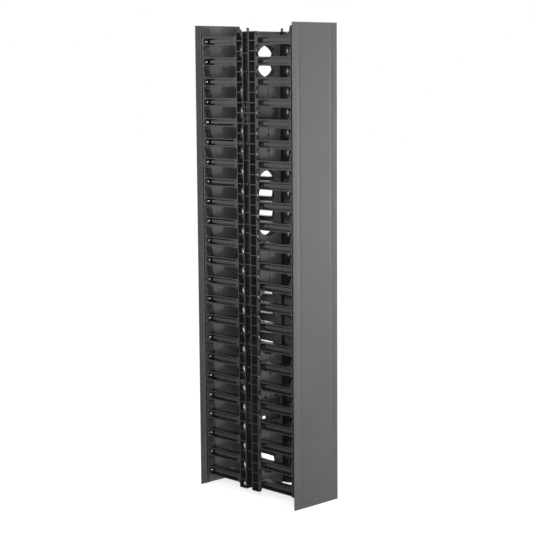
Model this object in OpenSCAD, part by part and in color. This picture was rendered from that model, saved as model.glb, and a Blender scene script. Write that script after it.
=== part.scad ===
// Vertical cable manager for a server rack: a steel backbone with a finger wall on each side,
// a cable channel in front and behind, and a cover on each channel that opens about a hinge rod.
// Millimetres. Origin at the centre of the footprint, level with the covers' lower edges.
// +Z is up and the front cover faces -Y.

/* [Height] */
// Rack units of height, each with one window in every finger row
rack_units = 22; // [20:2:44]
// Height of one rack unit
unit_pitch = 44.45; // [44.45]
// Spine beyond the centre of the end fingers
spine_over = 20; // [18:0.5:24]
// Covers beyond the ends of the spines
cover_over = 16; // [14:1:30]

/* [Plan] */
// Width of both covers
cover_w = 135; // [130:1:160]
// Depth over both covers
depth = 308; // [296:1:380]
// Overhang of a cover beyond the finger wall
cover_overhang = 9.4; // [8.8:0.1:9.6]
// Thickness of the finger walls
wall_t = 18; // [16:0.5:20]
// Half depth of a spine, from the middle plane to the finger roots
root_y = 36; // [34:0.5:40]

/* [Fingers] */
// Height of a finger
finger_h = 18.6; // [16:0.1:19]
// Thickness of a finger's top and bottom flanges
flange_t = 2.2; // [1.8:0.1:3]
// Thickness of the web on the channel side of a finger
web_t = 2.5; // [2:0.1:4]
// Depth of the rib face below the outer face
rib_set = 7; // [4:0.5:9]
// Height of the rib along the middle of a finger
rib_h = 6.4; // [4:0.1:8]
// Rise of the tip lip above the finger
lip_rise = 20; // [16:0.5:20]
// Thickness of the tip lip at its root
lip_root_t = 8; // [7:0.1:9]
// Thickness of the tip lip at its top
lip_top_t = 3; // [2.4:0.1:4]
// Drop of the point under a finger tip
point_drop = 3; // [2:0.1:3.5]
// Fillet between a finger and its lip, and in the window corners
window_r = 5; // [4:0.1:5]

/* [Spines] */
// Depth of the notch that each window cuts into a spine
notch_d = 5; // [5:0.1:6]
// Width of the rim along a window
rim_w = 2.5; // [2:0.1:3]
// Thickness of the rim at the middle of a window
rim_d = 1; // [1:0.1:4]
// Thickness of the ribs between cells
cell_rib = 2; // [1.6:0.1:2.6]
// Distance from the middle of a window's notch to the axis of its bell mouth
bell_axis = 19; // [17:0.5:24]
// Thickness of the bell-mouthed wall
bell_wall = 2; // [1.6:0.1:2.6]
// Width of the middle recess
recess_w = 17; // [16:0.5:18]
// Depth of the middle recess
recess_d = 14; // [10:0.5:14]
// Wall beside the middle recess
recess_wall = 2.5; // [2:0.1:3]

/* [Backbone] */
// Depth of the backbone over both sheets
backbone_d = 21; // [21:0.5:26]
// Thickness of the backbone steel
steel_t = 2; // [1.5:0.1:2.5]
// Outside radius of the bends
bend_r = 3.5; // [3:0.1:5]
// Gap of the seam between the two channels
seam_gap = 1.6; // [1:0.1:2.4]
// Steel beside a cable hole
hole_side = 5.1; // [4:0.1:12]
// Straight length between the round ends of a long cable hole
slot_straight = 77; // [60:1:80]
// Height of the opening over a rack bracket
bracket_open_h = 49; // [46:0.5:52]
// Steel beside the opening over a rack bracket
bracket_side = 8.1; // [6:0.1:12]
// Side of the square holes in a rack bracket
square_hole = 12; // [9.5:0.1:13]
// Spacing of the square holes, both ways
square_pitch = 36; // [34:0.5:38]

/* [Covers and hinges] */
// Thickness of the cover steel
panel_t = 1.5; // [1.2:0.1:1.8]
// Depth of the return lip along a cover's side edges
return_d = 3; // [2.4:0.1:3]
// Depth of the shallow groove along a cover's side edges
groove_d = 0.7; // [0.4:0.1:0.8]
// Thickness of the hinge channel steel
leg_t = 1.2; // [1:0.1:1.2]
// Inside width of a hinge channel
trough_w = 8; // [8:0.1:8.4]
// Distance from the outer face of a cover to its hinge rod
rod_set = 9; // [9:0.1:9.6]
// Diameter of the hinge rods
rod_d = 4; // [3:0.1:4.2]
// Running clearance on a hinge rod, on the radius
rod_play = 0.05; // [0.03:0.01:0.1]
// Space from the outer face of a cover to the finger tips
tip_set = 15; // [15:0.1:18]

/* [Hidden] */
$fn = 48;
over = 1;                                     // how far a cut runs past a face
n = rack_units;
half_step = unit_pitch / 2;
frame_h = n * unit_pitch + 2 * spine_over;
cover_h = frame_h + 2 * cover_over;
mid_z = cover_h / 2;
wall_out = cover_w / 2 - cover_overhang;      // outer faces of the finger walls
wall_in = wall_out - wall_t;                  // faces towards the cable channels
tip_y = depth / 2 - tip_set;
window_h = unit_pitch - finger_h;
hole_w = 2 * (wall_in - hole_side);
bracket_open_w = 2 * (wall_in - bracket_side);
finger_z = [for (i = [0 : n]) mid_z + (i - n / 2) * unit_pitch];
window_z = [for (i = [-1 : n]) mid_z + (i + 0.5 - n / 2) * unit_pitch];

// steps of half a rack unit from the middle to each feature, the same up and down
hole_step = n - 2;
slot_step = 6;
bracket_step = n - 7;
joint_step = n - 10;
screw_steps = [4, 8, joint_step, n - 3];
brace_steps = [0, 1.15, 3.15, 5.2, 6.8, n - 11.65, n - 1.2];
notch_steps = [joint_step - 0.75, joint_step + 0.75];

// bell mouths: flat rim left beyond the notch, and how far they stop short of a window's height
bell_lap = 0.3;
bell_short = 1;

// shallow pocket in the outer face of a tip lip
lip_pocket_rise = 1;
lip_pocket_set = 0.6;
lip_pocket_slope = 0.9;

// recess, ladder of access cells and the screws behind it
brace_t = 2;
brace_set = 3;
ladder_cell = [6, 10];
ladder_pitch = 12;
ladder_rows = 4;
ladder_x = recess_w / 4;
rack_hole_r = 2.85;
boss_r = 4;
screw_r = 1.7;
screw_play = 0.1;
head_r = 3.4;
head_h = 2.4;
head_taper = 1;
screw_past = 1;                               // thread beyond what it holds

// backbone and rack brackets
seam_notch = 6;
bracket_lap = 12;                             // plate beyond its opening, above and below
bracket_play = 0.5;
bracket_t = 3;
bracket_corner_r = 3;
bracket_screw_r = 2;

// ring boss in the rear half of a spine
ring_y = 24;
ring_r = 5.5;
ring_bore_r = 3;
ring_set = 1;

// stacking post on top of a spine
post_r = 3;
post_h = 8;
post_y = -1.5;

// pip moulded in the round end of a finger's pocket
pip_r = 2;
pip_set = 4;

// hinge parts
hinge_x = wall_out - leg_t - trough_w / 2;
hinge_y = depth / 2 - rod_set;
leg_past_rod = 0.8;
leg_end = depth / 2 - rod_set - leg_past_rod; // plane where the legs of a hinge channel end
eye_r = 3.4;
neck_w = 3;
foot_w = 9;
foot_d = 4;
holder_h = 10;
clip_h = 14;
rod_over = 12;
channel_end = 2;                              // hinge channel short of the cover's ends
groove_r = 20;
groove_side = 18.5;                           // from a cover's side edge to the middle of its groove
groove_x = cover_w / 2 - groove_side;
groove_fn = 96;
holder_tiers = [0, round(n / 4), n / 2, n - round(n / 4), n];
clip_steps = [-0.78 * n, -0.27 * n, 0.27 * n, 0.78 * n];

plastic = [0.16, 0.16, 0.17];
steel_paint = [0.27, 0.27, 0.28];
zinc = [0.7, 0.71, 0.72];

// ---- helpers ----

// a flat shape drawn in Y and Z, from depth d0 to d1 below the left wall's outer face
module from_side(d0, d1)
    translate([-wall_out + d0, 0, 0]) rotate([90, 0, 90]) linear_extrude(d1 - d0) children();

module right() mirror([1, 0, 0]) children();
module rear() mirror([0, 1, 0]) children();
module both_ways() for (s = [-1, 1]) scale_y(s) children();
module scale_y(s) mirror([0, s < 0 ? 1 : 0, 0]) children();
module up_and_down(steps) for (k = steps, s = [-1, 1]) translate([0, mid_z + s * k * half_step]) children();

// a rectangle given by two opposite corners
module rect(a, b) translate([min(a[0], b[0]), min(a[1], b[1])]) square([abs(b[0] - a[0]), abs(b[1] - a[1])]);

// a rectangle with round corners, made of squares and circles
module round_rect(w, h, r) {
    square([w, h - 2 * r], center = true);
    square([w - 2 * r, h], center = true);
    for (x = [-1, 1], y = [-1, 1]) translate([x * (w / 2 - r), y * (h / 2 - r)]) circle(r);
}

// ---- fingers: drawn for the left rear row, then mirrored ----

lip_foot = tip_y - lip_root_t;                // inner face of the lip at the finger
lip_head = tip_y - lip_top_t;                 // inner face of the lip at its top
finger_top = finger_h / 2;
lip_dir = [lip_head - lip_foot, lip_rise] / norm([lip_head - lip_foot, lip_rise]);
fillet_y = lip_foot - window_r * (1 - lip_dir[0]) / lip_dir[1];
pocket_r = finger_top - flange_t;
pocket_end = lip_foot - 1;                    // centre of the pocket's round end
rib_gap = 8;                                  // rib ends short of the root and of the round end
rear_rib = [root_y + rib_gap, pocket_end - rib_gap];
rear_pip_y = pocket_end;
// the front fingers have their pip at the root, and a rib that runs on into the tip
front_pip_y = root_y + rib_gap;
front_rib = [front_pip_y + pip_r + 1, tip_y];

module lip_outline() {
    top = finger_top + lip_rise;
    polygon([
        [lip_foot, finger_top], [lip_head, top - lip_top_t / 2], [tip_y, top - lip_top_t / 2],
        [tip_y, 0], [lip_foot, 0]
    ]);
    translate([tip_y - lip_top_t / 2, top - lip_top_t / 2]) circle(lip_top_t / 2);
}

module lip_fillet() difference() {
    polygon([
        [fillet_y, finger_top - 0.5], [lip_foot, finger_top - 0.5], [lip_foot, finger_top],
        [fillet_y + window_r * lip_dir[1], finger_top + window_r * (1 - lip_dir[0])],
        [fillet_y, finger_top + window_r]
    ]);
    translate([fillet_y, finger_top + window_r]) circle(window_r);
}

module point_outline() {
    r = point_drop / 2;
    low = -finger_top - point_drop;
    polygon([[tip_y - 3 * point_drop, -finger_top], [tip_y - 2 * r, low + r], [tip_y, low + r], [tip_y, 0],
        [tip_y - 3 * point_drop, 0]]);
    translate([tip_y - r, low + r]) circle(r);
}

module finger_outline() {
    rect([root_y, -finger_top], [tip_y, finger_top]);
    lip_outline();
    lip_fillet();
    point_outline();
}

module pocket_outline() {
    rect([root_y + flange_t, -pocket_r], [pocket_end, pocket_r]);
    translate([pocket_end, 0]) circle(pocket_r);
}

module rib_outline(ends) {
    r = rib_h / 2;
    rect([ends[0] + r, -r], [ends[1] - r, r]);
    for (y = [ends[0] + r, ends[1] - r]) translate([y, 0]) circle(r);
}

module lip_pocket() {
    base = finger_top + lip_pocket_rise;
    y0 = lip_foot + flange_t + lip_pocket_set;
    y1 = tip_y - flange_t;
    polygon([[y0, base], [y1, base], [y1, base + (y1 - y0) * lip_dir[1] / lip_dir[0] * lip_pocket_slope]]);
}

module finger(rib_ends, pip_y) {
    floor_d = wall_t - web_t;
    difference() {
        from_side(0, wall_t) finger_outline();
        from_side(-over, rib_set) pocket_outline();
        from_side(rib_set - over / 2, floor_d) difference() {
            pocket_outline();
            rib_outline(rib_ends);
        }
        from_side(-over, floor_d) lip_pocket();
    }
    translate([-wall_out + pip_set + pip_r, pip_y, 0]) {
        sphere(pip_r);
        rotate([0, 90, 0]) cylinder(r = pip_r, h = floor_d - pip_set - pip_r);
    }
}

module finger_row(rib_ends, pip_y) color(plastic) for (z = finger_z) translate([0, 0, z]) finger(rib_ends, pip_y);
module left_rear_fingers() finger_row(rear_rib, rear_pip_y);
module left_front_fingers() rear() finger_row(front_rib, front_pip_y);
module right_rear_fingers() right() left_rear_fingers();
module right_front_fingers() right() left_front_fingers();

// ---- spines ----

notch_y = root_y - notch_d;                   // bottom of a window's notch in the spine
cell_y1 = notch_y - rim_w;                    // cells end at the rim
wall_y = recess_w / 2 + recess_wall;
bell_tube = wall_t - rim_d;                   // radius of the bell-mouthed wall in plan
bell_ring = bell_axis + bell_lap + bell_tube;
cell_tube = bell_tube - bell_wall;
spine_z0 = mid_z - frame_h / 2;
spine_z1 = mid_z + frame_h / 2;

module spine_outline() difference() {
    rect([-root_y, spine_z0], [root_y, spine_z1]);
    both_notches();
}

module both_notches() for (s = [-1, 1], z = window_z)
    translate([s * (root_y + window_r), z]) round_rect(2 * (window_r + notch_d), window_h, window_r);

// every window opens out on the channel side in a bell mouth, round which a cable can bend:
// the profiles are turned about an axis across the wall, as radius and depth
module bell_mouths() turned_at_windows(window_h - bell_short) difference() {
    translate([0, rim_d]) square([bell_ring, bell_tube + over]);
    translate([bell_ring, rim_d]) circle(bell_tube);
}

// the cells follow the back of the bell-mouthed wall
module cells() difference() {
    turned_at_windows(unit_pitch - cell_rib) union() {
        translate([bell_ring, rim_d]) circle(cell_tube);
        translate([bell_ring - cell_tube, -over]) square([unit_pitch, over + rim_d]);
        translate([bell_ring, -over]) square([unit_pitch - cell_tube, over + rim_d + cell_tube]);
    }
    from_side(-2 * over, wall_t) {
        for (z = window_z) translate([0, z]) rect([0, -cell_rib / 2], [root_y, cell_rib / 2]);
        for (s = [-1, 1]) translate([0, mid_z + s * (frame_h / 2 - cell_rib)]) rect([0, 0], [root_y, s * unit_pitch]);
        rect([-over, spine_z0 - over], [wall_y, spine_z1 + over]);
        rect([cell_y1, spine_z0 - over], [root_y + over, spine_z1 + over]);
    }
}

module turned_at_windows(height) for (z = window_z) intersection() {
    translate([-wall_out, notch_y + bell_axis, z]) rotate([0, 90, 0]) rotate_extrude() children();
    translate([-wall_out - over, 0, z - height / 2]) cube([wall_t + 2 * over, root_y + over / 2, height]);
}

module recess_outline() difference() {
    rect([-recess_w / 2, spine_z0 - over], [recess_w / 2, spine_z1 - cell_rib]);
    up_and_down(concat(brace_steps, screw_steps)) square([recess_w + over, brace_t], center = true);
    up_and_down(screw_steps) circle(boss_r);
    up_and_down([bracket_step]) square([recess_w + over, ladder_rows * ladder_pitch + brace_t], center = true);
}

module ladder_cells() up_and_down([bracket_step])
    for (x = [-1, 1], row = [0 : ladder_rows - 1])
        translate([x * ladder_x, (row - (ladder_rows - 1) / 2) * ladder_pitch]) square(ladder_cell, center = true);

module rack_screw_places() up_and_down([bracket_step])
    for (x = [-1, 1], s = [-1, 1]) translate([x * ladder_x, s * ladder_pitch * (ladder_rows - 1) / 2]) children();

module ring_bosses(r) up_and_down([joint_step]) translate([ring_y, 0]) circle(r);

module spine() color(plastic) {
    difference() {
        from_side(0, wall_t) spine_outline();
        both_ways() {
            cells();
            bell_mouths();
        }
        from_side(-over, brace_set) rect([-recess_w / 2, spine_z0 - over], [recess_w / 2, spine_z1 - cell_rib]);
        from_side(brace_set - over / 2, recess_d) recess_outline();
        from_side(-over, wall_t + over) ladder_cells();
        from_side(0, wall_t + over) up_and_down(screw_steps) circle(screw_r + screw_play);
    }
    difference() {
        from_side(ring_set, wall_t - bell_wall / 2) ring_bosses(ring_r);
        from_side(0, wall_t - bell_wall) ring_bosses(ring_bore_r);
    }
    translate([-wall_out + 2 * post_r, post_y, spine_z1 - over]) {
        cylinder(r = post_r, h = post_h + over - post_r);
        translate([0, 0, post_h + over - post_r]) sphere(post_r);
    }
}
module left_spine() spine();
module right_spine() right() spine();

// pan-head screws through the spines into the backbone
module spine_screws() color(zinc)
    for (k = screw_steps, s = [-1, 1])
        translate([-wall_out + brace_set, 0, mid_z + s * k * half_step]) rotate([0, 90, 0]) {
            cylinder(r = screw_r, h = wall_t - brace_set + steel_t + screw_past);
            translate([0, 0, -head_h]) cylinder(r1 = head_r - head_taper, r2 = head_r, h = head_h);
        }
module left_spine_screws() spine_screws();
module right_spine_screws() right() spine_screws();

// ---- backbone: two folded steel channels that meet at a seam ----

module channel_profile() {
    x0 = -wall_in;
    x1 = -seam_gap / 2;
    y1 = backbone_d / 2;
    difference() {
        union() {
            rect([x0 + bend_r, -y1], [x1, y1]);
            rect([x0, -y1 + bend_r], [x1, y1 - bend_r]);
            for (s = [-1, 1]) translate([x0 + bend_r, s * (y1 - bend_r)]) circle(bend_r);
        }
        rect([x0 + bend_r, -y1 + steel_t], [x1 + over, y1 - steel_t]);
        rect([x0 + steel_t, -y1 + bend_r], [x1 + over, y1 - bend_r]);
        for (s = [-1, 1]) translate([x0 + bend_r, s * (y1 - bend_r)]) circle(bend_r - steel_t);
    }
}

// holes through both sheets, drawn in X and Z
module cable_holes() {
    up_and_down([hole_step]) circle(d = hole_w);
    up_and_down([slot_step]) {
        square([hole_w, slot_straight], center = true);
        for (s = [-1, 1]) translate([0, s * slot_straight / 2]) circle(d = hole_w);
    }
}

module bracket_windows() up_and_down([bracket_step]) round_rect(bracket_open_w, bracket_open_h, bracket_corner_r);

module through_backbone() rotate([90, 0, 0]) linear_extrude(2 * backbone_d, center = true) children();

module channel() color(steel_paint) difference() {
    translate([0, 0, spine_z0]) linear_extrude(frame_h) channel_profile();
    through_backbone() {
        cable_holes();
        bracket_windows();
        up_and_down(notch_steps) square(seam_notch, center = true);
        bracket_screw_places() circle(bracket_screw_r);
    }
    from_side(wall_t - over, wall_t + 2 * steel_t) {
        up_and_down(screw_steps) circle(screw_r);
        rack_screw_places() circle(rack_hole_r);
    }
}
module left_channel() channel();
module right_channel() right() channel();

// ---- rack brackets: steel plates behind the front sheet, with four square holes each ----

bracket_h = bracket_open_h + 2 * bracket_lap;
bracket_w = 2 * (wall_in - steel_t - bracket_play);

module bracket_screw_places() for (z = [-1, 1])
    up_and_down([bracket_step]) for (x = [-1, 1])
        translate([x * bracket_open_w / 4, z * (bracket_open_h + bracket_h) / 4]) children();

module bracket(side) color(steel_paint) translate([0, -backbone_d / 2 + steel_t + bracket_t, 0])
    rotate([90, 0, 0]) linear_extrude(bracket_t) translate([0, mid_z + side * bracket_step * half_step])
        difference() {
            round_rect(bracket_w, bracket_h, bracket_corner_r);
            for (x = [-1, 1], z = [-1, 1]) translate([x, z] * square_pitch / 2) square(square_hole, center = true);
            for (x = [-1, 1], z = [-1, 1])
                translate([x * bracket_open_w / 4, z * (bracket_open_h + bracket_h) / 4]) circle(bracket_screw_r);
        }
module upper_bracket() bracket(1);
module lower_bracket() bracket(-1);

module bracket_screws() color(zinc)
    for (s = [-1, 1], x = [-1, 1], z = [-1, 1])
        translate([x * bracket_open_w / 4, -backbone_d / 2,
            mid_z + s * bracket_step * half_step + z * (bracket_open_h + bracket_h) / 4])
            rotate([-90, 0, 0]) {
                cylinder(r = bracket_screw_r, h = steel_t + bracket_t + 2 * screw_past);
                translate([0, 0, -head_h]) cylinder(r1 = head_r - head_taper, r2 = head_r, h = head_h);
            }

// ---- hinge rods and the holders that carry them on the finger tips ----

module hinge_rod() color(zinc)
    translate([-hinge_x, -hinge_y, finger_z[0] - rod_over]) cylinder(d = rod_d, h = n * unit_pitch + 2 * rod_over);
module left_front_rod() hinge_rod();
module right_front_rod() right() hinge_rod();
module left_rear_rod() rear() hinge_rod();
module right_rear_rod() right() rear() hinge_rod();

module holder_profile() difference() {
    union() {
        circle(eye_r);
        rotate(45) translate([0, -neck_w / 2]) square([(hinge_y - tip_y) * sqrt(2) - neck_w / 2, neck_w]);
        translate([eye_r, hinge_y - tip_y - foot_d]) square([foot_w, foot_d]);
    }
    circle(rod_d / 2 + rod_play);
}

module holders() color(plastic)
    for (tier = holder_tiers) translate([-hinge_x, -hinge_y, finger_z[tier] - holder_h / 2])
        linear_extrude(holder_h) holder_profile();
module front_rod_holders() {
    holders();
    right() holders();
}
module rear_rod_holders() rear() front_rod_holders();

// ---- covers ----

module panel_profile() {
    y0 = -depth / 2;
    edge_r = leg_t;
    difference() {
        union() {
            rect([-cover_w / 2 + edge_r, y0], [cover_w / 2 - edge_r, y0 + panel_t]);
            for (s = [-1, 1]) {
                translate([s * (cover_w / 2 - edge_r), y0 + edge_r]) circle(edge_r);
                rect([s * cover_w / 2, y0 + edge_r], [s * (cover_w / 2 - edge_r), y0 + return_d]);
            }
        }
        for (s = [-1, 1]) translate([s * groove_x, y0 - groove_r + groove_d]) circle(groove_r, $fn = groove_fn);
    }
}

module panel() color(steel_paint) linear_extrude(cover_h) panel_profile();
module front_panel() panel();
module rear_panel() rear() panel();

module trough_profile() {
    inner = depth / 2 - panel_t;              // inner face of the cover
    w = trough_w / 2 + leg_t;
    translate([-hinge_x, 0]) difference() {
        rect([-w, -inner], [w, -leg_end]);
        rect([-trough_w / 2, -inner + leg_t], [trough_w / 2, -leg_end + over]);
    }
}

module hinge_channel() color(steel_paint)
    translate([0, 0, channel_end]) linear_extrude(cover_h - 2 * channel_end) trough_profile();
module front_left_hinge_channel() hinge_channel();
module front_right_hinge_channel() right() hinge_channel();
module rear_left_hinge_channel() rear() hinge_channel();
module rear_right_hinge_channel() right() rear() hinge_channel();

// snap clips in the hinge channels: a half-round seat that is open towards the rod
module clip_profile() difference() {
    rect([-trough_w / 2, -depth / 2 + panel_t + leg_t], [trough_w / 2, -leg_end]);
    translate([0, -hinge_y]) {
        circle(rod_d / 2 + rod_play);
        rect([-rod_d / 2 - rod_play, 0], [rod_d / 2 + rod_play, rod_set]);
    }
}

module front_clips() color(plastic)
    for (s = [-1, 1], k = clip_steps)
        translate([s * hinge_x, 0, mid_z + k * half_step - clip_h / 2]) linear_extrude(clip_h) clip_profile();
module rear_clips() rear() front_clips();

left_spine();
right_spine();
left_front_fingers();
left_rear_fingers();
right_front_fingers();
right_rear_fingers();
left_channel();
right_channel();
upper_bracket();
lower_bracket();
bracket_screws();
left_spine_screws();
right_spine_screws();
left_front_rod();
right_front_rod();
left_rear_rod();
right_rear_rod();
front_rod_holders();
rear_rod_holders();
front_panel();
front_left_hinge_channel();
front_right_hinge_channel();
front_clips();
rear_panel();
rear_left_hinge_channel();
rear_right_hinge_channel();
rear_clips();
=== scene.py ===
import bpy
import bmesh
from math import cos, radians, sin
from mathutils import Matrix, Vector


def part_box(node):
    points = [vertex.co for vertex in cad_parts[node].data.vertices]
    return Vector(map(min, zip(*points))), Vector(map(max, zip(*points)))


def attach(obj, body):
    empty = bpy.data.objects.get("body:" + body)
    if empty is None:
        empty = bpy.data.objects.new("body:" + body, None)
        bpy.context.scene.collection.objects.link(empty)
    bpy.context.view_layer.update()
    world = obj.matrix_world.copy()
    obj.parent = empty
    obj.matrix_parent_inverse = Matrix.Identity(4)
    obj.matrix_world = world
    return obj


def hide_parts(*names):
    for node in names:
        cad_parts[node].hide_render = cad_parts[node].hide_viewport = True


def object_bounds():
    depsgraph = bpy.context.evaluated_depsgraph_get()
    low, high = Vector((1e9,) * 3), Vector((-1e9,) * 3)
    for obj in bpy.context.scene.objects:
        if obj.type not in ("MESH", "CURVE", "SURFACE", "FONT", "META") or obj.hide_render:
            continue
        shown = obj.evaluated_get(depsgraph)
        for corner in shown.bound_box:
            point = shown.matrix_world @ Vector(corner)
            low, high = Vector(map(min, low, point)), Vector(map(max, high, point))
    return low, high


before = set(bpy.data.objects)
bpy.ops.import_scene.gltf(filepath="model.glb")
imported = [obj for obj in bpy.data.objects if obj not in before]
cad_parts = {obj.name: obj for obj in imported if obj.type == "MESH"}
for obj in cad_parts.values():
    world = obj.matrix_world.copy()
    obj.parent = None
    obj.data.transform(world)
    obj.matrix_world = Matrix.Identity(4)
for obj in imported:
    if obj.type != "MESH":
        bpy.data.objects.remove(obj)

cad_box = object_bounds()

# ---------------------------------------------------------------- camera
# A long lens stands in front and to the left of the manager, a little below its top and
# tipped down, so that the front cover, the left finger wall and the spine all show.
def add_object(name, data):
    """A new object in the scene."""
    made = bpy.data.objects.new(name, data)
    bpy.context.scene.collection.objects.link(made)
    return made

def camera_turn(yaw, tip, roll):
    """The turn of a camera that looks along yaw from +X, tipped down and rolled."""
    ahead = Vector((cos(yaw) * cos(tip), sin(yaw) * cos(tip), -sin(tip)))
    right = Vector((sin(yaw), -cos(yaw), 0.0))
    up = right.cross(ahead)
    across = cos(roll) * right + sin(roll) * up
    upright = cos(roll) * up - sin(roll) * right
    return Matrix((across, upright, -ahead)).transposed()

lens = bpy.data.cameras.new("studio_camera")
lens.lens = 101.2
lens.sensor_width = 36.0
lens.shift_x = 0.0092
lens.shift_y = -0.0026
lens.clip_end = 60.0
camera = add_object("studio_camera", lens)
camera_place = (-2.3051, -2.3842, 0.9466)
turn = camera_turn(yaw=radians(46.15), tip=radians(7.35), roll=radians(-0.47))
camera.matrix_world = Matrix.Translation(camera_place) @ turn.to_4x4()
bpy.context.scene.camera = camera
bpy.context.scene.view_settings.view_transform = "Standard"
bpy.context.view_layer.update()

# ---------------------------------------------------------------- studio
# White paper floor in a white room, a tall softbox behind the camera, a small one at the
# right for the cover and one behind, so that dark parts show their edges in soft reflections.
def linear(hex_code):
    """An sRGB hex colour as the linear RGBA that a shader takes."""
    parts = [int(hex_code[i:i + 2], 16) / 255 for i in (0, 2, 4)]
    return [c / 12.92 if c <= 0.04045 else ((c + 0.055) / 1.055) ** 2.4 for c in parts] + [1.0]

def add_node(tree, kind, links=(), values=(), **settings):
    """One node: settings fill its properties or input sockets by name, values fill sockets
    by number, and links join (socket, source, output)."""
    made = tree.nodes.new(kind)
    for name, value in settings.items():
        if hasattr(made, name):
            setattr(made, name, value)
        else:
            made.inputs[name.replace("_", " ")].default_value = value
    for socket, value in values:
        made.inputs[socket].default_value = value
    for socket, source, output in links:
        tree.links.new(source.outputs[output], made.inputs[socket])
    return made

def emptied_tree(owner):
    """The node tree of a material or world, with nothing in it."""
    owner.use_nodes = True
    owner.node_tree.nodes.clear()
    return owner.node_tree

world = bpy.data.worlds.new("white_room")
bpy.context.scene.world = world
tree = emptied_tree(world)
seen = add_node(tree, "ShaderNodeLightPath")
white = add_node(tree, "ShaderNodeBackground", Color=linear("ffffff"), Strength=1.0)
walls = add_node(tree, "ShaderNodeBackground", Color=linear("f2f2f4"), Strength=0.45)
direct = add_node(tree, "ShaderNodeMath", [(0, seen, "Is Camera Ray"), (1, seen, "Is Glossy Ray")],
                  operation="MAXIMUM")
clear = add_node(tree, "ShaderNodeMath", [(0, direct, 0), (1, seen, "Is Transmission Ray")],
                 operation="MAXIMUM")
both = add_node(tree, "ShaderNodeMixShader", [(0, clear, 0), (1, walls, 0), (2, white, 0)])
add_node(tree, "ShaderNodeOutputWorld", [("Surface", both, 0)])

floor_half_width = 12.0
sheet = bmesh.new()
bmesh.ops.create_grid(sheet, x_segments=1, y_segments=1, size=floor_half_width)
bmesh.ops.translate(sheet, vec=(0, 0, cad_box[0][2]), verts=sheet.verts)
floor = add_object("paper_floor", bpy.data.meshes.new("paper_floor"))
sheet.to_mesh(floor.data)
sheet.free()
paper = bpy.data.materials.new("white_paper_floor")
tree = emptied_tree(paper)
seen = add_node(tree, "ShaderNodeLightPath")
matt = add_node(tree, "ShaderNodeBsdfDiffuse", Color=linear("f7f7f7"))
# what the softboxes leave grey far from the manager, the paper makes up for the camera alone
glow = add_node(tree, "ShaderNodeEmission", Color=linear("ffffff"), Strength=0.66)
lit = add_node(tree, "ShaderNodeAddShader", [(0, matt, 0), (1, glow, 0)])
both = add_node(tree, "ShaderNodeMixShader", [(0, seen, "Is Camera Ray"), (1, matt, 0), (2, lit, 0)])
add_node(tree, "ShaderNodeOutputMaterial", [("Surface", both, 0)])
floor.data.materials.append(paper)

def softbox(name, place, width, height, watts):
    """A lamp aimed at the middle of the manager."""
    light = bpy.data.lights.new(name, "AREA")
    light.shape = "RECTANGLE"
    light.size = width
    light.size_y = height
    light.energy = watts
    lamp = add_object(name, light)
    aim = Vector((0, 0, (cad_box[0][2] + cad_box[1][2]) / 2))
    facing = (aim - Vector(place)).to_track_quat("-Z", "Y")
    lamp.matrix_world = Matrix.Translation(place) @ facing.to_matrix().to_4x4()

softbox("camera_softbox", place=(-2.75, -2.65, 1.1), width=0.6, height=1.8, watts=110)
softbox("right_softbox", place=(3.0, -1.7, 0.4), width=0.6, height=0.7, watts=34)
softbox("rear_softbox", place=(-2.2, 2.3, 0.6), width=1.0, height=1.6, watts=5)

# ---------------------------------------------------------------- spines and finger walls
# One black ABS moulding a side: a spine of thin ribs and cells with a finger at each rack
# unit. Mould edges are slightly round, and the skin has a fine spark grain with flow marks.
per_mm = 1000                                    # noise of scale per_mm / x has features of x mm
noise_body = {"From_Min": 0.3, "From_Max": 0.7}  # nearly all of a noise lies in this range

black_abs = bpy.data.materials.new("black_moulded_ABS")
tree = emptied_tree(black_abs)
place = add_node(tree, "ShaderNodeTexCoord")
# spark grain of about 0.5 mm, drawn at 1.2 mm so that it shows
grain = add_node(tree, "ShaderNodeTexNoise", [("Vector", place, "Object")],
                 Scale=per_mm / 1.2, Detail=3.0)
flow = add_node(tree, "ShaderNodeTexNoise", [("Vector", place, "Object")],
                Scale=per_mm / 45, Detail=4.0)
tone = add_node(tree, "ShaderNodeMapRange", [(0, flow, 0)], **noise_body)
colour = add_node(tree, "ShaderNodeMix", [(0, tone, 0)],
                  [(6, linear("18181a")), (7, linear("212123"))], data_type="RGBA")
gloss = add_node(tree, "ShaderNodeMapRange", [(0, flow, 0)], To_Min=0.2, To_Max=0.3, **noise_body)
skin = add_node(tree, "ShaderNodeBump", [("Height", grain, 0)], Strength=0.12, Distance=0.0003)
shell = add_node(tree, "ShaderNodeBsdfPrincipled",
                 [("Base Color", colour, 2), ("Roughness", gloss, 0), ("Normal", skin, 0)], IOR=1.53)
add_node(tree, "ShaderNodeOutputMaterial", [("Surface", shell, 0)])

def merged(node):
    """A CAD node's mesh, with its loose triangles joined and its flat faces whole again."""
    shape = bmesh.new()
    shape.from_mesh(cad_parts[node].data)
    bmesh.ops.remove_doubles(shape, verts=shape.verts, dist=2e-6)
    bmesh.ops.dissolve_limit(shape, angle_limit=radians(1), verts=shape.verts, edges=shape.edges)
    shape.normal_update()
    return shape

def placed(shape, name, node, body, finish, smooth=40):
    """The piece made from a finished bmesh. It stands for a CAD node, if one is named, and
    shades smoothly over edges of less than smooth degrees."""
    mesh = bpy.data.meshes.new(name)
    shape.to_mesh(mesh)
    shape.free()
    mesh.shade_smooth()
    mesh.set_sharp_from_angle(angle=radians(smooth))
    mesh.materials.append(finish)
    piece = add_object(name, mesh)
    even = piece.modifiers.new("even_normals", "WEIGHTED_NORMAL")
    even.keep_sharp = True
    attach(piece, body)
    if node:
        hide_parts(node)
    return piece

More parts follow.
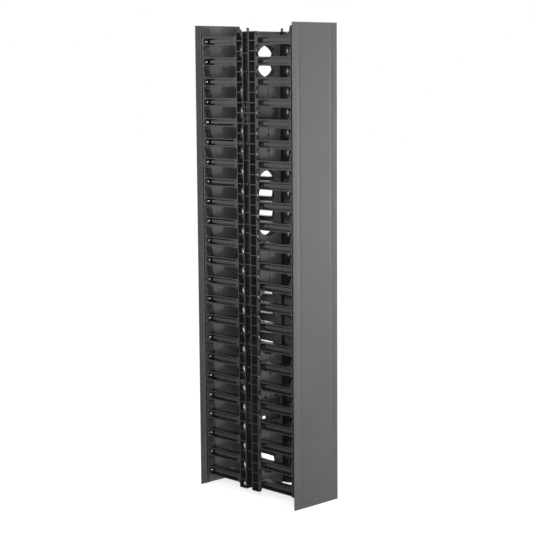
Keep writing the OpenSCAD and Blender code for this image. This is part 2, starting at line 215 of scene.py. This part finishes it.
def eased(node, radius, body, finish):
    """A copy of a CAD node with its outer edges rounded, apart from very short ones."""
    shape = merged(node)
    sharp = [e for e in shape.edges if e.is_manifold and e.is_convex
             and e.calc_face_angle() > radians(50) and e.calc_length() > 3 * radius]
    bmesh.ops.bevel(shape, geom=sharp, offset=radius, offset_type="OFFSET", affect="EDGES",
                    segments=2, profile=0.5, clamp_overlap=True, material=-1)
    return placed(shape, node + "_eased", node, body, finish)

mould_edge = 0.0004
for side in ("left", "right"):
    eased(side + "_spine", mould_edge, "frame", black_abs)
    for row in ("front", "rear"):
        eased(side + "_" + row + "_fingers", mould_edge, "frame", black_abs)

# ---------------------------------------------------------------- backbone and brackets
# Two folded steel channels with big cable holes meet at a seam, under the same dark grey
# powder coat as the covers. The bracket plates behind the openings are coated black.
def powder_coat(name, dark, light, smoothest, roughest):
    """Polyester powder coat: an orange-peel ripple about 2 mm wide, and cloudy handling marks."""
    coat = bpy.data.materials.new(name)
    tree = emptied_tree(coat)
    place = add_node(tree, "ShaderNodeTexCoord")
    peel = add_node(tree, "ShaderNodeTexNoise", [("Vector", place, "Object")],
                    Scale=per_mm / 2.2, Detail=3.0)
    marks = add_node(tree, "ShaderNodeTexNoise", [("Vector", place, "Object")],
                     Scale=per_mm / 150, Detail=3.0)
    tone = add_node(tree, "ShaderNodeMapRange", [(0, marks, 0)], **noise_body)
    colour = add_node(tree, "ShaderNodeMix", [(0, tone, 0)],
                      [(6, linear(dark)), (7, linear(light))], data_type="RGBA")
    # the coat is full of fine light specks, drawn at 1.5 mm so that they show
    speck = add_node(tree, "ShaderNodeTexNoise", [("Vector", place, "Object")],
                     Scale=per_mm / 1.5, Detail=1.0)
    fleck = add_node(tree, "ShaderNodeMapRange", [(0, speck, 0)],
                     From_Min=0.58, From_Max=0.75, To_Max=0.25)
    flecked = add_node(tree, "ShaderNodeMix", [(0, fleck, 0), (6, colour, 2)],
                       [(7, linear("8c8c90"))], data_type="RGBA")
    gloss = add_node(tree, "ShaderNodeMapRange", [(0, marks, 0)],
                     To_Min=smoothest, To_Max=roughest, **noise_body)
    skin = add_node(tree, "ShaderNodeBump", [("Height", peel, 0)], Strength=0.1, Distance=0.0004)
    shell = add_node(tree, "ShaderNodeBsdfPrincipled",
                     [("Base Color", flecked, 2), ("Roughness", gloss, 0), ("Normal", skin, 0)],
                     IOR=1.5)
    add_node(tree, "ShaderNodeOutputMaterial", [("Surface", shell, 0)])
    return coat

grey_coat = powder_coat("dark_grey_powder_coat", "4a4a4c", "525254", 0.42, 0.56)
black_coat = powder_coat("black_powder_coat", "18181a", "202022", 0.4, 0.5)

sheet_edge = 0.0003
for side in ("left", "right"):
    eased(side + "_channel", sheet_edge, "frame", grey_coat)
for level in ("upper", "lower"):
    eased(level + "_bracket", sheet_edge, "frame", black_coat)

# ---------------------------------------------------------------- screws
# Pan-head thread-forming screws with a cross recess hold the spines and the brackets. They
# are steel with black zinc plate, a thin dark film over metal, slightly cloudy.
black_zinc = bpy.data.materials.new("black_zinc_plated_steel")
tree = emptied_tree(black_zinc)
place = add_node(tree, "ShaderNodeTexCoord")
cloud = add_node(tree, "ShaderNodeTexNoise", [("Vector", place, "Object")],
                 Scale=per_mm / 1.5, Detail=4.0)
colour = add_node(tree, "ShaderNodeMix", [(0, cloud, 0)],
                  [(6, linear("2e2f31")), (7, linear("4a4b4e"))], data_type="RGBA")
gloss = add_node(tree, "ShaderNodeMapRange", [(0, cloud, 0)], To_Min=0.25, To_Max=0.45)
skin = add_node(tree, "ShaderNodeBump", [("Height", cloud, 0)], Strength=0.1, Distance=0.0001)
shell = add_node(tree, "ShaderNodeBsdfPrincipled",
                 [("Base Color", colour, 2), ("Roughness", gloss, 0), ("Normal", skin, 0)],
                 Metallic=1.0)
add_node(tree, "ShaderNodeOutputMaterial", [("Surface", shell, 0)])

def solid_boxes(node):
    """The lowest and highest corner of each separate solid in a CAD node, from the bottom up."""
    shape = merged(node)
    left = set(shape.verts)
    boxes = []
    while left:
        reached = [left.pop()]
        for vert in reached:
            for edge in vert.link_edges:
                beyond = edge.other_vert(vert)
                if beyond in left:
                    left.remove(beyond)
                    reached.append(beyond)
        boxes.append([Vector([end(v.co[i] for v in reached) for i in range(3)])
                      for end in (min, max)])
    shape.free()
    return sorted(boxes, key=lambda box: (box[0].z, box[0].x))

def ring(shape, radius, height, count=24):
    """The edges of a circle about the Z axis, each once and in the same order every run."""
    made = bmesh.ops.create_circle(shape, cap_ends=False, radius=radius, segments=count)["verts"]
    bmesh.ops.translate(shape, vec=(0, 0, height), verts=made)
    return list(dict.fromkeys(edge for vert in made for edge in vert.link_edges))

def joined(shape, loops):
    """A skin from each loop of edges to the next."""
    for start, end in zip(loops, loops[1:]):
        bmesh.ops.bridge_loops(shape, edges=start + end)

def cross_screw(shape, head_r, head_h, shank_r, length):
    """A pan-head screw on the Z axis: its seat at zero, its recess below and its thread above."""
    pitch, thread_depth = 0.0011, 0.0003
    tip_r, tip_set, first_turn = 0.4 * shank_r, 0.0001, 0.0008
    loops = [ring(shape, tip_r, length - tip_set)]
    for i in range(int(length / pitch)):
        root_z = length - first_turn - i * pitch
        loops += [ring(shape, shank_r - thread_depth, root_z), ring(shape, shank_r, root_z - pitch / 2)]
    pan_head = ((1.0, 0.0), (1.0, 0.3), (0.94, 0.6), (0.8, 0.85), (0.62, 1.0))
    loops += [ring(shape, r * head_r, -h * head_h) for r, h in pan_head]
    # the cross is one quarter's three corners, turned about the axis
    arm, half_slot, recess_depth, recess_taper = 0.48 * head_r, 0.14 * head_r, 0.6 * head_h, 0.6
    quarter = [(arm, half_slot), (half_slot, half_slot), (half_slot, arm)]
    verts = []
    for i in range(4):
        verts += [shape.verts.new((x, y, -head_h)) for x, y in quarter]
        quarter = [(-y, x) for x, y in quarter]
    loops.append([shape.edges.new((verts[i - 1], verts[i])) for i in range(len(verts))])
    joined(shape, loops)
    made = bmesh.ops.extrude_edge_only(shape, edges=loops[-1])["geom"]
    deep = [v for v in made if isinstance(v, bmesh.types.BMVert)]
    bmesh.ops.translate(shape, vec=(0, 0, recess_depth), verts=deep)
    bmesh.ops.scale(shape, vec=(recess_taper, recess_taper, 1.0), verts=deep)
    bmesh.ops.contextual_create(shape, geom=[e for e in made if isinstance(e, bmesh.types.BMEdge)])
    bmesh.ops.contextual_create(shape, geom=loops[0])
    bmesh.ops.recalc_face_normals(shape, faces=shape.faces)

def turned_to(direction):
    """The turn that points +Z along a direction."""
    return Vector(direction).to_track_quat("Z", "Y").to_matrix().to_4x4()

def screws(node, ahead):
    """Cross-recess screws in the place of a CAD node's screws, their points towards ahead."""
    places = solid_boxes(node)
    low, high = places[0]
    axis = max(range(3), key=lambda i: abs(ahead[i]))
    across = (axis + 1) % 3
    head_r, head_h = (high[across] - low[across]) / 2, 0.0024
    one = bmesh.new()
    cross_screw(one, head_r, head_h, shank_r=head_r / 2, length=high[axis] - low[axis] - head_h)
    one.transform(turned_to(ahead))
    single = bpy.data.meshes.new("one_screw")
    one.to_mesh(single)
    one.free()
    shape = bmesh.new()
    for low, high in places:
        seat = (low + high) / 2
        seat[axis] = (low if ahead[axis] > 0 else high)[axis] + head_h * ahead[axis]
        first = len(shape.verts)
        shape.from_mesh(single)
        shape.verts.ensure_lookup_table()
        bmesh.ops.translate(shape, vec=seat, verts=shape.verts[first:])
    bpy.data.meshes.remove(single)
    return placed(shape, node + "_cross_recess", node, "frame", black_zinc, smooth=30)

screws("left_spine_screws", (1, 0, 0))
screws("right_spine_screws", (-1, 0, 0))
screws("bracket_screws", (0, 1, 0))

# ---------------------------------------------------------------- finger pins, a painted highlight
# A domed pin stands in the round end of each rear finger's pocket. Its bright zinc-plated steel, which
# mirrors the white room, is a painted highlight: it stands in for the glint that the glossy rear
# pockets catch, so the front row has no such pins.
painted_highlight_zinc = bpy.data.materials.new("zinc_plated_pins_painted_highlight")
tree = emptied_tree(painted_highlight_zinc)
place = add_node(tree, "ShaderNodeTexCoord")
cloud = add_node(tree, "ShaderNodeTexNoise", [("Vector", place, "Object")],
                 Scale=per_mm / 1.0, Detail=3.0)
# these light zinc colours paint the highlight of the rear finger pockets
colour = add_node(tree, "ShaderNodeMix", [(0, cloud, 0)],
                  [(6, linear("c4c6ca")), (7, linear("e0e1e3"))], data_type="RGBA")
gloss = add_node(tree, "ShaderNodeMapRange", [(0, cloud, 0)], To_Min=0.15, To_Max=0.3)
shell = add_node(tree, "ShaderNodeBsdfPrincipled", [("Base Color", colour, 2), ("Roughness", gloss, 0)],
                 Metallic=1.0)
add_node(tree, "ShaderNodeOutputMaterial", [("Surface", shell, 0)])

# radius and height of each ring of a head, from its seat to the top of its dome
pin_dome = ((0.0021, 0.0), (0.0021, 0.0004), (0.0018, 0.0009), (0.0011, 0.0013), (0.0004, 0.00145))
pin_depth, pin_from_tip, finger_middle = 0.005, 0.009, 0.0123
for side, outward in (("left", -1), ("right", 1)):
    fingers = side + "_rear_fingers"
    low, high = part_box(fingers)
    face = (low if outward < 0 else high)[0]
    pins = bmesh.new()
    for finger_low, finger_high in solid_boxes(fingers):
        first = len(pins.verts)
        loops = [ring(pins, r, h, count=12) for r, h in pin_dome]
        joined(pins, loops)
        for edges in (loops[0], loops[-1]):
            bmesh.ops.contextual_create(pins, geom=edges)
        pins.verts.ensure_lookup_table()
        seat = (face - outward * pin_depth, finger_high.y - pin_from_tip, finger_low.z + finger_middle)
        bmesh.ops.transform(pins, matrix=Matrix.Translation(seat) @ turned_to((outward, 0, 0)),
                            verts=pins.verts[first:])
    bmesh.ops.recalc_face_normals(pins, faces=pins.faces)
    # the bright pins are a painted highlight at the rear finger tips
    placed(pins, side + "_finger_pins_painted_highlight", None, "frame", painted_highlight_zinc, smooth=60)

# ---------------------------------------------------------------- hinge rods and holders
# A drawn steel rod, plated black as the screws are, runs down each wall's front and rear
# tips, its ends slightly round, in moulded eyes that are pressed on the tips.
rod_edge, eye_edge = 0.0004, 0.0003
for row in ("front", "rear"):
    for side in ("left", "right"):
        eased(side + "_" + row + "_rod", rod_edge, "frame", black_zinc)
    eased(row + "_rod_holders", eye_edge, "frame", black_abs)

# ---------------------------------------------------------------- covers
# Each cover is one roll-formed steel sheet with a shallow groove and a return lip along
# its sides, two spot-welded hinge channels inside, and moulded clips in the channels.
clip_edge = 0.0002
for row in ("front", "rear"):
    body = row + "_cover"
    for part in ("_panel", "_left_hinge_channel", "_right_hinge_channel"):
        eased(row + part, sheet_edge, body, grey_coat)
    eased(row + "_clips", clip_edge, body, black_abs)
